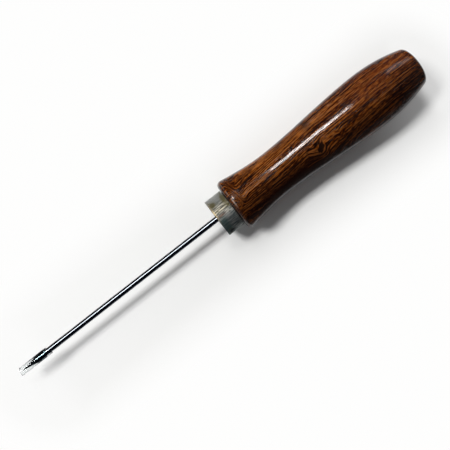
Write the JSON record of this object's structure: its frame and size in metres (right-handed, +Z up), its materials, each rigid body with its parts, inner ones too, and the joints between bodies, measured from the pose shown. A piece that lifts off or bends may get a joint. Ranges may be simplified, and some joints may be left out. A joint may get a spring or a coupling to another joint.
{
  "type": "carbide pick",
  "caption": "Pointed hand pick: a polished rod with a needle point set in a turned wooden handle with a steel ferrule, and a clear tube guard that pulls off the point.",
  "frame": {"origin": "on the surface that the tool lies on, under the middle of its length", "axes": "+X along the tool's axis from the point to the butt, +Z up from the surface, +Y across the handle"},
  "size_m": [0.2882, 0.034, 0.034],
  "materials": {
    "hardwood": "glossy varnish over dark striped grain",
    "ferrule_steel": "filed zinc-plated steel with worn yellowish stains",
    "carbide": "mirror-ground cemented carbide",
    "epoxy": "cured clear amber adhesive",
    "clear_vinyl": "clear flexible tubing"
  },
  "bodies": {
    "tool": {"handle": "hardwood", "ferrule": "ferrule_steel", "carbide_rod": "carbide", "epoxy_bond": "epoxy"},
    "tip_guard": {"tip_guard": "clear_vinyl"}
  },
  "joints": [
    {"name": "guard_pull", "type": "slide", "parent": "tool", "child": "tip_guard", "axis": [-1, 0, 0], "range_m": [0, 0.03]}
  ]
}
